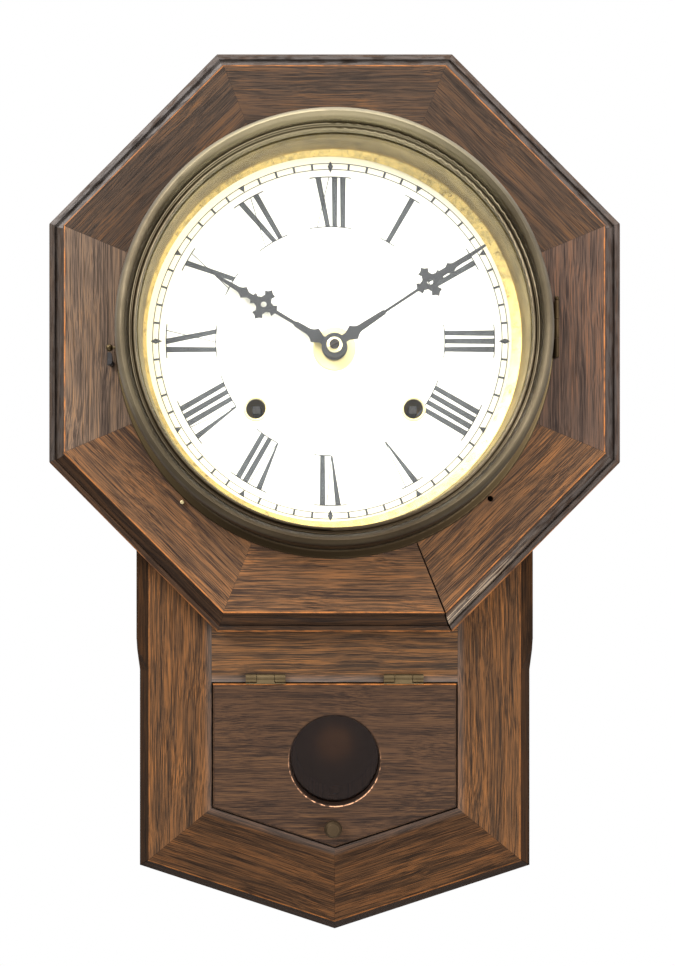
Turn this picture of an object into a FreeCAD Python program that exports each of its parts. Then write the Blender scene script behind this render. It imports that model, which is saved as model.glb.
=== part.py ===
import FreeCAD, Part
import math
import os

# Schoolhouse wall clock. Millimetres. X right, Z up, the front faces -Y.
# The origin is on the case's back face, straight behind the arbor of the hands.

# Case
CASE_HALF_WIDTH = 112.5
CASE_TOP = 125.0
CASE_TIP = -327.7
CASE_SLOPE = 0.3263
BOARD = 10.0
BACK_BOARD = 8.0
BOX_FRONT = -60.0
FRAME_FRONT = -72.0
FRAME_TOP = -100.0
CHAMFER_WIDTH = 7.0
CHAMFER_DEPTH = 11.0
CHAMFER_RUN_OUT = [(1.0, -340.0), (1.0, -178.0), (0.7, -173.5), (0.22, -166.0), (0.03, -160.0)]

# Octagon
OCTAGON_Z = 5.6
OCTAGON_FACE = -94.0
OCTAGON_CORNERS = [(-65.5, 160.9), (65.5, 160.9), (159.0, 66.5), (159.0, -66.5),
                   (65.5, -160.9), (-65.5, -160.9), (-159.0, -66.5), (-159.0, 66.5)]
OCTAGON_NAMES = ["top", "top_right", "right", "bottom_right", "bottom", "bottom_left", "left", "top_left"]
OCTAGON_HOLE = 0.68
MOULDING_WIDTH = 11.0
MOULDING_DEPTH = 10.5
CORNER_ROUNDING = 2.5
OPEN_MITRE = 1.2
PIN_AT = (-83.1, -83.9)
PIN_RADIUS = 1.0
NAIL_HOLE_AT = (85.3, -81.8)
NAIL_HOLE_RADIUS = 1.6

# Pendulum door
DOOR_HALF_WIDTH = 68.85
DOOR_TOP = -185.2
DOOR_TIP = -277.4
DOOR_BACK = -65.0
DOOR_FRONT = -75.0
DOOR_GAP = 1.0
RAIL_UNDERSIDE = -184.4
HINGE_MORTISE = 1.2
WINDOW_Z = -228.4
WINDOW_RADIUS = 25.2
DOOR_GLASS_RADIUS = 29.0
DOOR_HINGE_Y = -74.1
DOOR_HINGE_Z = -181.2
DOOR_HINGE_XS = (-39.0, 39.0)
DOOR_HINGE_LENGTH = 22.4
KNOB_X = -0.8
KNOB_Z = -265.8

# Bezel and dial
BEZEL_Z = 5.2
BEZEL_HINGE_X = 120.8
BEZEL_HINGE_Y = -98.0
BEZEL_HINGE_Z = 10.2
BEZEL_HINGE_HALF = 15.4
BEZEL_LEAF_HALF = 5.1
BEZEL_KNUCKLE = 1.3
BEZEL_PIN = 0.7
CATCH_X = -122.0
CATCH_Z = -8.0
CATCH_SHANK = 0.8
SIGHT_LEVELS = [(-3.0, 5.3, 99.7, 1.4), (-1.2, 5.0, 102.9, 4.2), (0.0, 5.2, 103.6, 22.0)]
SIGHT_WALL = 0.8
DIAL_RADIUS = 112.0
DIAL_THICKNESS = 0.8

# Hands
MINUTE_ANGLE = 56.5
MINUTE_LENGTH = 97.3
MINUTE_HAND_BACK = -104.6
HOUR_ANGLE = -58.9
HOUR_LENGTH = 75.0
HOUR_HAND_BACK = -99.0
HAND_THICKNESS = 0.8
NUT_BACK = MINUTE_HAND_BACK - HAND_THICKNESS

# Movement
BACK_PLATE = -28.0
FRONT_PLATE = -62.0
PLATE = 2.0
PIVOT = 1.0
RUNNING = 0.05
CENTRE = (0.0, 0.0)
TIME_MAIN = (43.1, -32.8)
STRIKE_MAIN = (-43.1, -32.8)
TIME_SECOND = (24.77, -4.64)
THIRD = (-14.0, 16.97)
ESCAPE = (0.0, 30.18)
ANCHOR = (0.0, 47.0)
STRIKE_SECOND = (-46.5, 0.63)
FLY = (-38.0, 18.3)
HAMMER = (-20.0, -58.0)
MINUTE_WHEEL = (0.0, -19.2)
PILLARS = [(-66.0, -58.0), (66.0, -58.0), (-60.0, 50.0), (60.0, 50.0)]
GONG = (-62.0, -150.0)
ROD_Y = -19.0
BOB_Z = -229.0


def vec(x, y, z):
    return FreeCAD.Vector(x, y, z)


def block(x0, x1, y0, y1, z0, z1):
    return Part.makeBox(x1 - x0, abs(y1 - y0), z1 - z0, vec(x0, min(y0, y1), z0))


def disc(centre, radius, back, front):
    """Round bar along Y, from the back plane to the front plane."""
    return Part.makeCylinder(radius, back - front, vec(centre[0], back, centre[1]), vec(0, -1, 0))


def tube(centre, outer, inner, back, front):
    return disc(centre, outer, back, front).cut(disc(centre, inner, back + 1, front - 1))


def outline_wire(points, place):
    """Closed wire. A point of two numbers ends a line, one of four ends an arc through its first two."""
    edges = []
    last = points[-1][-2:]
    for point in points:
        end = point[-2:]
        if len(point) == 4:
            edges.append(Part.Arc(place(*last), place(*point[:2]), place(*end)).toShape())
        else:
            edges.append(Part.makeLine(place(*last), place(*end)))
        last = end
    return Part.Wire(edges)


def plate(points, back, front):
    """Plate cut to an outline of (x, z) points, from the back plane to the front plane."""
    wire = outline_wire(points, lambda x, z: vec(x, back, z))
    return Part.Face(wire).extrude(vec(0, front - back, 0))


def turned(points, centre, base):
    """Ring turned about a Y axis from (radius, height in front of the base plane) points."""
    wire = outline_wire(points, lambda r, h: vec(centre[0] + r, base - h, centre[1]))
    return Part.Face(wire).revolve(vec(centre[0], base, centre[1]), vec(0, 1, 0), 360)


def fuse(shapes):
    whole = shapes[0]
    for shape in shapes[1:]:
        whole = whole.fuse(shape)
    return whole.removeSplitter()


def mirrored(shape):
    return shape.mirror(vec(0, 0, 0), vec(1, 0, 0))


def chamfer_front(shape, front, size):
    """Bevel every edge that lies in the front plane."""
    edges = []
    for edge in shape.Edges:
        if all(abs(vertex.Point.y - front) < 0.01 for vertex in edge.Vertexes):
            if abs(edge.CenterOfMass.y - front) < 0.01:
                edges.append(edge)
    return shape.makeChamfer(size, edges)


def export(node, shapes):
    shape = shapes[0] if len(shapes) == 1 else Part.makeCompound(shapes)
    shape.exportStep("parts/" + node + ".step")


# ---- case ----

def vee(half_width, top, tip):
    """Outline with a flat top, upright sides and a shallow V below."""
    shoulder = tip + half_width * CASE_SLOPE
    return [(-half_width, top), (half_width, top), (half_width, shoulder), (0, tip), (-half_width, shoulder)]


def slanted(distance):
    """Height on the V of a board edge that is moved in squarely by a distance."""
    return distance * math.hypot(1, CASE_SLOPE)


def hanger_block():
    return block(-14, 14, 0, -2.5, 92, 150)


def make_box():
    inner = vee(CASE_HALF_WIDTH - BOARD, CASE_TOP - BOARD, CASE_TIP + slanted(BOARD))
    outer = vee(CASE_HALF_WIDTH, CASE_TOP, CASE_TIP)
    export("backboard", [plate(inner, 0, -BACK_BOARD).cut(hanger_block())])
    top = block(-inner[1][0], inner[1][0], 0, FRAME_FRONT, CASE_TOP - BOARD, CASE_TOP)
    export("case_top_board", [top.cut(hanger_block())])
    side = plate([outer[1], outer[2], inner[2], (inner[1][0], CASE_TOP)], 0, BOX_FRONT)
    front_strip = block(inner[1][0], outer[1][0], BOX_FRONT, FRAME_FRONT, FRAME_TOP, CASE_TOP)
    right = side.fuse(front_strip).removeSplitter()
    export("case_side_right", [right])
    export("case_side_left", [mirrored(right)])
    bottom = plate([outer[2], outer[3], inner[3], inner[2]], 0, BOX_FRONT)
    export("case_bottom_boards", [bottom, mirrored(bottom)])
    hole = disc((0, 138), 4, 1, -4)
    export("wall_hanger", [hanger_block().cut(hole)])


def stopped_chamfer():
    """Cutter for the side chamfer, which runs out to nothing at its top."""
    wires = []
    for share, z in CHAMFER_RUN_OUT:
        width = CHAMFER_WIDTH * share
        depth = CHAMFER_DEPTH * share
        wires.append(Part.makePolygon([vec(CASE_HALF_WIDTH - width, FRAME_FRONT, z),
                                       vec(CASE_HALF_WIDTH, FRAME_FRONT + depth, z),
                                       vec(CASE_HALF_WIDTH + 2, FRAME_FRONT - 2, z),
                                       vec(CASE_HALF_WIDTH - width, FRAME_FRONT, z)]))
    return Part.makeLoft(wires, True, True)


def bottom_chamfer():
    """Cutter for the front edge along the right half of the V."""
    a = vec(-0.2 * CASE_HALF_WIDTH, FRAME_FRONT, CASE_TIP - 0.2 * CASE_HALF_WIDTH * CASE_SLOPE)
    b = a + vec(-CASE_SLOPE, 0, 1).normalize() * CHAMFER_WIDTH
    c = a + vec(0, CHAMFER_DEPTH, 0)
    out = (a - b) * 0.2 + (a - c) * 0.2
    face = Part.Face(Part.makePolygon([b, c, a + out, b]))
    return face.extrude(vec(1, 0, CASE_SLOPE) * (1.4 * CASE_HALF_WIDTH))


def make_drop_frame():
    outer = vee(CASE_HALF_WIDTH, FRAME_TOP, CASE_TIP)
    hole = vee(DOOR_HALF_WIDTH + DOOR_GAP, RAIL_UNDERSIDE, DOOR_TIP - slanted(DOOR_GAP) - 0.3)
    stile = plate([(hole[1][0], FRAME_TOP), outer[1], outer[2], hole[2]], BOX_FRONT, FRAME_FRONT)
    stile = stile.cut(stopped_chamfer())
    rail = plate([outer[2], outer[3], hole[3], hole[2]], BOX_FRONT, FRAME_FRONT)
    rail = rail.cut(bottom_chamfer())
    export("drop_stile_right", [stile])
    export("drop_stile_left", [mirrored(stile)])
    export("drop_bottom_rail_right", [rail])
    export("drop_bottom_rail_left", [mirrored(rail)])
    top_rail = block(-hole[1][0], hole[1][0], BOX_FRONT, FRAME_FRONT, RAIL_UNDERSIDE, FRAME_TOP)
    half = DOOR_HINGE_LENGTH / 2 + RUNNING
    for x in DOOR_HINGE_XS:
        top_rail = top_rail.cut(block(x - half, x + half, BOX_FRONT + 1, FRAME_FRONT - 1, RAIL_UNDERSIDE - 1,
                                      RAIL_UNDERSIDE + HINGE_MORTISE))
    export("drop_top_rail", [top_rail])
    inset = 4.0
    stop_top = DOOR_TOP - 6
    around = plate(vee(hole[1][0], stop_top, hole[3][1]), BOX_FRONT, DOOR_BACK + 0.7)
    inside = vee(hole[1][0] - inset, stop_top + 1, hole[3][1] + slanted(inset))
    export("door_stop_strips", [around.cut(plate(inside, BOX_FRONT + 1, FRAME_FRONT))])


def moulding_section(apothem, inner):
    """Board section as (distance from centre, y): straight back, lip, quirk, cove, arris and flat face."""
    lip = OCTAGON_FACE + MOULDING_DEPTH
    return [(inner, FRAME_FRONT), (apothem, FRAME_FRONT), (apothem, lip + 1.5),
            (apothem - 0.5, lip - 0.6, apothem - 1.8, lip - 1.2), (apothem - 3.3, lip - 1.0),
            (apothem - 3.6, lip + 0.6),
            (apothem - 8.2, lip - 2.6, apothem - MOULDING_WIDTH + 0.9, OCTAGON_FACE + 1.0),
            (apothem - MOULDING_WIDTH, OCTAGON_FACE), (inner, OCTAGON_FACE)]


def worn_outline():
    """Prism over the whole octagon with its corners rubbed round."""
    corners = [vec(x, 0, z + OCTAGON_Z) for x, z in OCTAGON_CORNERS]
    prism = Part.Face(Part.makePolygon(corners + corners[:1])).extrude(vec(0, -200, 0))
    upright = [edge for edge in prism.Edges if abs(edge.CenterOfMass.y + 100) < 1]
    return prism.makeFillet(CORNER_ROUNDING, upright)


def octagon_board(start, end, open_gap):
    """Moulded board along one side of the octagon, mitred along lines through its centre."""
    along = vec(end[0] - start[0], 0, end[1] - start[1])
    length = along.Length
    along.normalize()
    outward = vec(along.z, 0, -along.x) * -1
    apothem = abs(vec(start[0], 0, start[1]).dot(outward))
    centre = vec(0, 0, OCTAGON_Z)
    foot = centre - along * length

    def place(distance, y):
        return foot + outward * distance + vec(0, y, 0)

    section = Part.Face(outline_wire(moulding_section(apothem, apothem * OCTAGON_HOLE), place))
    board = section.extrude(along * (2 * length))
    corners = [centre, centre + vec(start[0], 0, start[1]) * 1.3 + along * open_gap,
               centre + vec(end[0], 0, end[1]) * 1.3, centre]
    wedge = Part.Face(Part.makePolygon(corners)).extrude(vec(0, -200, 0))
    return board.common(wedge)


def make_octagon():
    count = len(OCTAGON_CORNERS)
    outline = worn_outline()
    for index in range(count):
        name = OCTAGON_NAMES[index]
        gap = OPEN_MITRE if name == "bottom" else 0
        board = octagon_board(OCTAGON_CORNERS[index], OCTAGON_CORNERS[(index + 1) % count], gap)
        board = board.common(outline)
        if name == "right":
            board = board.cut(bezel_case_plate())
        if name == "bottom_left":
            board = board.cut(disc(PIN_AT, PIN_RADIUS, OCTAGON_FACE + 12, OCTAGON_FACE - 1))
        if name == "bottom_right":
            board = board.cut(disc(NAIL_HOLE_AT, NAIL_HOLE_RADIUS, OCTAGON_FACE + 12, OCTAGON_FACE - 1))
        if name == "left":
            board = board.cut(disc((CATCH_X, CATCH_Z), CATCH_SHANK + RUNNING, OCTAGON_FACE + 11, OCTAGON_FACE - 1))
        export("octagon_board_" + name, [board])
    export("case_pin", [disc(PIN_AT, PIN_RADIUS, OCTAGON_FACE + 12, OCTAGON_FACE - 3)])


# ---- pendulum door ----

def make_door():
    door = plate(vee(DOOR_HALF_WIDTH, DOOR_TOP, DOOR_TIP), DOOR_BACK, DOOR_FRONT)
    door = door.cut(disc((0, WINDOW_Z), WINDOW_RADIUS, 0, DOOR_FRONT - 1))
    door = chamfer_front(door, DOOR_FRONT, 1.0)
    door = door.cut(disc((0, WINDOW_Z), DOOR_GLASS_RADIUS, 0, DOOR_BACK - 2.2))
    door = door.cut(disc((KNOB_X, KNOB_Z), 1.5 + RUNNING, 0, DOOR_FRONT - 1))
    export("pendulum_door", [door])
    export("door_glass", [disc((0, WINDOW_Z), DOOR_GLASS_RADIUS - RUNNING, DOOR_BACK - 0.2, DOOR_BACK - 2.2)])
    knob = turned([(0, 9.5), (0, 0.3), (2.2, 0.3), (2.2, 3.0), (4.6, 4.6, 4.2, 8.3), (3.3, 9.5)],
                  (KNOB_X, KNOB_Z), DOOR_FRONT)
    spindle = disc((KNOB_X, KNOB_Z), 1.5, -57.2, DOOR_FRONT - 1)
    export("door_knob", [fuse([knob, spindle])])
    tongue = block(KNOB_X - 2.5, KNOB_X + 2.5, -57.5, -59.5, KNOB_Z - 2.5, KNOB_Z + 15)
    export("door_latch_tongue", [tongue.cut(disc((KNOB_X, KNOB_Z), 1.5, 0, -70))])


def knuckle(x, length, radius, hole):
    axis = vec(1, 0, 0)
    start = vec(x, DOOR_HINGE_Y, DOOR_HINGE_Z)
    barrel = Part.makeCylinder(radius, length, start, axis)
    return barrel.cut(Part.makeCylinder(hole, length + 2, start - axis, axis)) if hole else barrel


def make_door_hinges():
    case_leaves = []
    door_leaves = []
    half = DOOR_HINGE_LENGTH / 2
    end = 6.0
    radius = 1.6
    pin = 0.8
    seat = RAIL_UNDERSIDE + HINGE_MORTISE
    for x in DOOR_HINGE_XS:
        leaf = block(x - half, x + half, -61.2, FRAME_FRONT - 0.3, seat - 0.8, seat)
        cheeks = []
        for x0 in (x - half, x + half - end):
            web = block(x0, x0 + end, FRAME_FRONT - 0.3, DOOR_HINGE_Y - 0.6, seat - 0.8, DOOR_HINGE_Z - 1.0)
            cheeks += [web, knuckle(x0, end, radius, 0)]
        inner = knuckle(x - half + end - 0.1, DOOR_HINGE_LENGTH - 2 * end + 0.2, pin, 0)
        case_leaves.append(fuse([leaf] + cheeks + [inner]))
        x0 = x - half + end + 0.3
        width = DOOR_HINGE_LENGTH - 2 * end - 0.6
        web = block(x0, x0 + width, DOOR_HINGE_Y - 0.6, DOOR_HINGE_Y + 0.4, DOOR_TOP, DOOR_HINGE_Z - 1.0)
        leaf = block(x - half, x + half, -66, DOOR_HINGE_Y - 0.6, DOOR_TOP, DOOR_TOP + 0.6)
        barrel = knuckle(x0, width, radius, pin + RUNNING)
        web = web.cut(knuckle(x0 - 1, width + 2, pin + RUNNING, 0))
        door_leaves.append(fuse([barrel, web, leaf]))
    export("door_hinge_case_leaves", case_leaves)
    export("door_hinge_door_leaves", door_leaves)


# ---- bezel ----

def bezel_section():
    """(radius, height above the octagon face), once round the spun sheet."""
    return [(119.9, 0.3), (119.9, 1.2), (119.6, 1.9, 118.9, 2.2),
            (116.4, 2.4), (115.4, 2.9, 115.1, 4.0),
            (114.2, 27.0), (113.3, 32.8, 110.8, 35.0), (108.9, 33.0, 108.0, 27.4),
            (107.4, 27.8, 106.8, 27.2), (106.2, 26.6, 105.6, 27.0), (104.8, 27.4, 104.0, 26.8),
            (103.9, 24.2), (105.9, 24.2), (105.9, 20.4), (107.1, 20.4), (107.1, 25.6), (109.3, 27.4),
            (109.9, 32.2, 110.9, 33.6), (112.2, 32.0, 112.9, 27.0), (113.8, 4.2), (114.2, 1.2, 115.6, 0.3)]


def make_bezel():
    ring = turned(bezel_section(), (0, BEZEL_Z), OCTAGON_FACE)
    stud = Part.makeCylinder(0.8, 7.8, vec(-114.7, -98, 0), vec(-1, 0, 0))
    ball = Part.makeSphere(2.0, vec(-122.4, -98, 0))
    catch_stud = stud.fuse(ball)
    export("bezel_ring", [ring.fuse(catch_stud).removeSplitter()])
    export("bezel_glass", [disc((0, BEZEL_Z), 105.7, OCTAGON_FACE - 22, OCTAGON_FACE - 24.2)])
    export("sight_ring", [sight_ring()])
    hinge_box = block(114.3, BEZEL_HINGE_X, BEZEL_HINGE_Y + 0.4, BEZEL_HINGE_Y - 0.4,
                      BEZEL_HINGE_Z - BEZEL_LEAF_HALF, BEZEL_HINGE_Z + BEZEL_LEAF_HALF)
    barrel = upright_knuckle(BEZEL_HINGE_Z - BEZEL_LEAF_HALF, 2 * BEZEL_LEAF_HALF, BEZEL_KNUCKLE)
    bore = upright_knuckle(BEZEL_HINGE_Z - 8, 16, BEZEL_PIN + RUNNING)
    leaf = hinge_box.fuse(barrel).cut(bore).cut(ring).removeSplitter()
    export("bezel_hinge_bezel_leaf", [leaf])


def sight_cone(extra):
    """Solid under the sight ring's surface: a slanting lip at the dial, then a steep wall up to the glass."""
    circles = []
    for x, z, radius, height in SIGHT_LEVELS:
        centre = vec(x, OCTAGON_FACE - height, z)
        circles.append(Part.Wire(Part.makeCircle(radius + extra, centre, vec(0, -1, 0))))
    return Part.makeLoft(circles, True, True)


def sight_ring():
    flange = tube((0, BEZEL_Z), 105.7, 103.9, OCTAGON_FACE - 21.2, OCTAGON_FACE - 22.0)
    return sight_cone(SIGHT_WALL).fuse(flange).cut(sight_cone(0)).removeSplitter()


def upright_knuckle(z, length, radius):
    return Part.makeCylinder(radius, length, vec(BEZEL_HINGE_X, BEZEL_HINGE_Y, z))


def bezel_case_plate():
    return block(BEZEL_HINGE_X - 0.4, BEZEL_HINGE_X + 0.4, OCTAGON_FACE + 6, BEZEL_HINGE_Y,
                 BEZEL_HINGE_Z - BEZEL_HINGE_HALF, BEZEL_HINGE_Z + BEZEL_HINGE_HALF)


def make_bezel_hinge_and_catch():
    inner = BEZEL_LEAF_HALF + 0.3
    gap = block(BEZEL_HINGE_X - 3, BEZEL_HINGE_X + 3, OCTAGON_FACE - 0.3, BEZEL_HINGE_Y - 3,
                BEZEL_HINGE_Z - inner, BEZEL_HINGE_Z + inner)
    plate_part = bezel_case_plate().cut(gap)
    length = BEZEL_HINGE_HALF - inner
    low = upright_knuckle(BEZEL_HINGE_Z - BEZEL_HINGE_HALF, length, BEZEL_KNUCKLE)
    high = upright_knuckle(BEZEL_HINGE_Z + inner, length, BEZEL_KNUCKLE)
    pin = upright_knuckle(BEZEL_HINGE_Z - BEZEL_HINGE_HALF, 2 * BEZEL_HINGE_HALF + 1, BEZEL_PIN)
    cap = Part.makeSphere(1.3, vec(BEZEL_HINGE_X, BEZEL_HINGE_Y, BEZEL_HINGE_Z + BEZEL_HINGE_HALF + 1.2))
    export("bezel_hinge_case_leaf", [fuse([plate_part, low, high, pin, cap])])
    hook = plate([(CATCH_X - 1.5, CATCH_Z - 1.6), (CATCH_X + 1.5, CATCH_Z - 1.6), (CATCH_X + 1.1, CATCH_Z + 4.0),
                  (CATCH_X + 0.4, CATCH_Z + 5.4), (CATCH_X - 1.3, CATCH_Z + 5.4)], -97.4, -98.6)
    collar = disc((CATCH_X, CATCH_Z), 1.6, OCTAGON_FACE - 0.3, -97.4)
    head = disc((CATCH_X, CATCH_Z), 1.3, -98.6, -99.4)
    shank = disc((CATCH_X, CATCH_Z), CATCH_SHANK, OCTAGON_FACE + 10, OCTAGON_FACE - 0.3)
    export("bezel_catch_hook", [fuse([hook, collar, head, shank])])


# ---- dial and hands ----

def make_dial():
    back = OCTAGON_FACE
    front = OCTAGON_FACE - DIAL_THICKNESS
    dial = disc((0, BEZEL_Z), DIAL_RADIUS, back, front)
    rings = []
    for centre, outer, inner in ((CENTRE, 12.0, 6.2), (TIME_MAIN, 6.8, 5.3), (STRIKE_MAIN, 6.8, 5.3)):
        dial = dial.cut(disc(centre, inner, back + 1, front - 1))
        rings.append(turned([(inner, 0), (outer, 0), (outer - 0.2, 0.5, outer - 0.8, 0.6),
                             (inner + 0.4, 0.6), (inner, 0.2)], centre, front))
    export("dial_plate", [dial])
    export("dial_grommets", rings)


def star(centre, radius, turn):
    """Five points, the first at an angle of turn degrees from up."""
    points = []
    for k in range(10):
        angle = math.radians(turn + 36 * k)
        reach = radius if k % 2 == 0 else radius * 0.66
        points.append((centre[0] + reach * math.sin(angle), centre[1] + reach * math.cos(angle)))
    return points


def cross(z, back, front):
    """Pierced cross with four starred arms and a round bite between each two."""
    parts = [disc((0, z), 5.0, back, front)]
    for turn in (0, 90, 180, 270):
        angle = math.radians(turn)
        at = (5.7 * math.sin(angle), z + 5.7 * math.cos(angle))
        parts.append(plate(star(at, 3.4, turn), back, front))
    whole = fuse(parts)
    for x in (-4.1, 4.1):
        for dz in (-4.1, 4.1):
            whole = whole.cut(disc((x, z + dz), 1.55, back + 1, front - 1))
    return whole


def hand(length, ornament, barb, collar, arm, hub, hole, angle, back):
    """Pierced spear hand that points up Z before it is turned to its place on the dial."""
    front = back - HAND_THICKNESS
    half = plate([(0, 0), (2.2, 0), (2.2, 8.4), (4.3, 12.6), (2.5, 14.6, 1.8, 18.4), (arm + 0.6, collar),
                  (arm, collar + 0.3), (arm, ornament), (1.5, ornament + 4.0), (1.5, barb - 2.8), (3.4, barb),
                  (1.9, barb + 1.8, 1.35, barb + 5.0), (0.65, length), (0, length)], back, front)
    blade = fuse([half, mirrored(half), disc((0, 0), hub, back, front), cross(ornament, back, front)])
    blade = blade.cut(disc((0, ornament), 1.6, back + 1, front - 1))
    blade = blade.cut(disc((0, 0), hole, back + 1, front - 1))
    blade.rotate(vec(0, 0, 0), vec(0, 1, 0), angle)
    return blade


def make_hands():
    hour = hand(HOUR_LENGTH, 44.9, 57.7, 24.8, 0.95, 7.0, 3.2, HOUR_ANGLE, HOUR_HAND_BACK)
    export("hour_hand", [hour])
    minute = hand(MINUTE_LENGTH, 61.6, 74.8, 32.3, 0.7, 6.6, 2.0, MINUTE_ANGLE, MINUTE_HAND_BACK)
    export("minute_hand", [minute])
    nut = turned([(2.0, 0), (4.3, 0), (4.3, 0.6), (4.1, 1.0, 3.7, 1.1), (3.1, 1.3), (2.8, 2.6), (2.0, 2.6)],
                 CENTRE, NUT_BACK)
    cross_pin = Part.makeCylinder(0.5, 7.6, vec(-3.4, NUT_BACK - 3.05, -1.6), vec(0.87, 0, 0.4))
    export("hand_nut", [nut.fuse(cross_pin).removeSplitter()])


# ---- movement ----

def gear(centre, teeth, module, back, front, facing, tooth_first):
    """Flat toothed wheel with a tooth, or else a gap, on the line towards another arbor."""
    pitch_radius = teeth * module / 2
    step = 2 * math.pi / teeth
    aim = math.atan2(facing[1] - centre[1], facing[0] - centre[0])
    aim += 0 if tooth_first else step / 2
    root = pitch_radius - 1.1 * module
    tip = pitch_radius + 0.75 * module
    points = []
    for k in range(teeth):
        for share, radius in ((-0.27, root), (-0.12, tip), (0.12, tip), (0.27, root)):
            angle = aim + (k + share) * step
            points.append((centre[0] + radius * math.cos(angle), centre[1] + radius * math.sin(angle)))
    return plate(points, back, front)


def saw_wheel(centre, teeth, root, tip, back, front):
    points = []
    for k in range(teeth):
        for share, radius in ((0.0, tip), (0.15, root), (0.7, root)):
            angle = 2 * math.pi * (k + share) / teeth
            points.append((centre[0] + radius * math.cos(angle), centre[1] + radius * math.sin(angle)))
    return plate(points, back, front)


def arbor(centre, radius=PIVOT):
    return disc(centre, radius, BACK_PLATE, FRONT_PLATE - PLATE)


def make_plates():
    outline = [(-74, -66), (74, -66), (74, 4), (68, 58), (-68, 58), (-74, 4)]
    holes = [(TIME_SECOND, PIVOT), (THIRD, PIVOT), (ESCAPE, PIVOT), (ANCHOR, PIVOT), (STRIKE_SECOND, PIVOT),
             (FLY, PIVOT), (HAMMER, PIVOT), (CENTRE, 2.0), (TIME_MAIN, 3.0), (STRIKE_MAIN, 3.0)]
    sheets = []
    for back in (BACK_PLATE, FRONT_PLATE):
        sheet = plate(outline, back, back - PLATE)
        for centre, radius in holes:
            sheet = sheet.cut(disc(centre, radius + RUNNING, back + 1, back - PLATE - 1))
        sheets.append(sheet)
    stud = disc(MINUTE_WHEEL, 1.5, FRONT_PLATE - PLATE, -76)
    export("front_plate", [sheets[1].fuse(stud).removeSplitter()])
    arm = block(-5, 5, BACK_PLATE, -13, 54, 57)
    leg = block(-4, 4, -13, -15, 43, 57)
    post = disc(ANCHOR, 1.0, -15, -22.5)
    export("back_plate", [fuse([sheets[0], arm, leg, post])])
    posts = []
    for centre in PILLARS:
        posts.append(disc(centre, 4.5, -BACK_BOARD, BACK_PLATE))
        posts.append(disc(centre, 3.0, BACK_PLATE - PLATE, FRONT_PLATE))
    export("plate_pillars", posts)


def spiral(centre, first, halves, step, thick):
    """Flat strip wound in half circles about two centres, as an outline of (x, z) arcs."""
    outer = []
    inner = []
    cx, cz = centre
    for k in range(halves):
        side = 1 if k % 2 == 0 else -1
        middle = cx + (0 if k % 2 == 0 else step)
        for radius, track in ((first + k * step, inner), (first + k * step + thick, outer)):
            start = (middle + side * radius, cz)
            top = (middle, cz + side * radius)
            end = (middle - side * radius, cz)
            track.append((start, top, end))
    points = [outer[0][0]]
    for start, top, end in outer:
        points.append(top + end)
    points.append(inner[-1][2])
    for start, top, end in reversed(inner):
        points.append(top + start)
    return points


def make_mainsprings():
    springs = [plate(spiral(centre, 4.6, 20, 1.0, 0.45), -32, -44) for centre in (TIME_MAIN, STRIKE_MAIN)]
    export("mainsprings", springs)


def make_winding(node, wheel_node, centre, pinion_at):
    square = block(centre[0] - 2.1, centre[0] + 2.1, -66, -91, centre[1] - 2.1, centre[1] + 2.1)
    shaft = arbor(centre, 3.0).fuse(disc(centre, 2.0, FRONT_PLATE - PLATE, -67))
    ratchet = saw_wheel(centre, 16, 7.8, 9.0, -48.4, -49.8)
    export(node, [fuse([shaft, square, ratchet])])
    wheel = gear(centre, 72, 0.8, -46, -48, pinion_at, True)
    wheel = wheel.cut(disc(centre, 3.0 + RUNNING, 0, -60))
    click = block(centre[0] - 2, centre[0] + 6, -48, -49.8, centre[1] + 9.4, centre[1] + 12)
    export(wheel_node, [wheel.fuse(click).removeSplitter()])


def make_time_train():
    export("time_second_wheel", [fuse([
        arbor(TIME_SECOND),
        gear(TIME_SECOND, 12, 0.8, -44.8, -49.5, TIME_MAIN, False),
        gear(TIME_SECOND, 48, 0.7, -51, -52.2, CENTRE, True)])])
    centre_parts = [
        disc(CENTRE, 2.0, BACK_PLATE, NUT_BACK - 2.5),
        gear(CENTRE, 24, 0.7, -50, -53.2, TIME_SECOND, False),
        gear(CENTRE, 72, 0.55, -56, -57.2, THIRD, True),
        gear(CENTRE, 16, 0.6, -66, -69.2, MINUTE_WHEEL, False)]
    export("centre_arbor", [fuse(centre_parts)])
    export("third_wheel", [fuse([
        arbor(THIRD),
        gear(THIRD, 8, 0.55, -54.8, -58.5, CENTRE, False),
        gear(THIRD, 70, 0.5, -38, -39.2, ESCAPE, True)])])
    export("escape_wheel", [fuse([
        arbor(ESCAPE),
        gear(ESCAPE, 7, 0.5, -36.5, -40.7, THIRD, False),
        saw_wheel(ESCAPE, 38, 9.2, 10.5, -33, -34.2)])])


def make_motion_work():
    wheel = gear(MINUTE_WHEEL, 48, 0.6, -67, -68.2, CENTRE, True)
    pinion = gear(MINUTE_WHEEL, 12, 0.64, -68.2, -73.5, CENTRE, False)
    bore = disc(MINUTE_WHEEL, 1.5 + RUNNING, -60, -80)
    export("minute_wheel", [wheel.fuse(pinion).cut(bore).removeSplitter()])
    hour = gear(CENTRE, 48, 0.64, -71, -72.2, MINUTE_WHEEL, True).fuse(disc(CENTRE, 3.2, -70, HOUR_HAND_BACK - 1.4))
    export("hour_wheel", [hour.cut(disc(CENTRE, 2.0 + RUNNING, -60, -120)).removeSplitter()])


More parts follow.
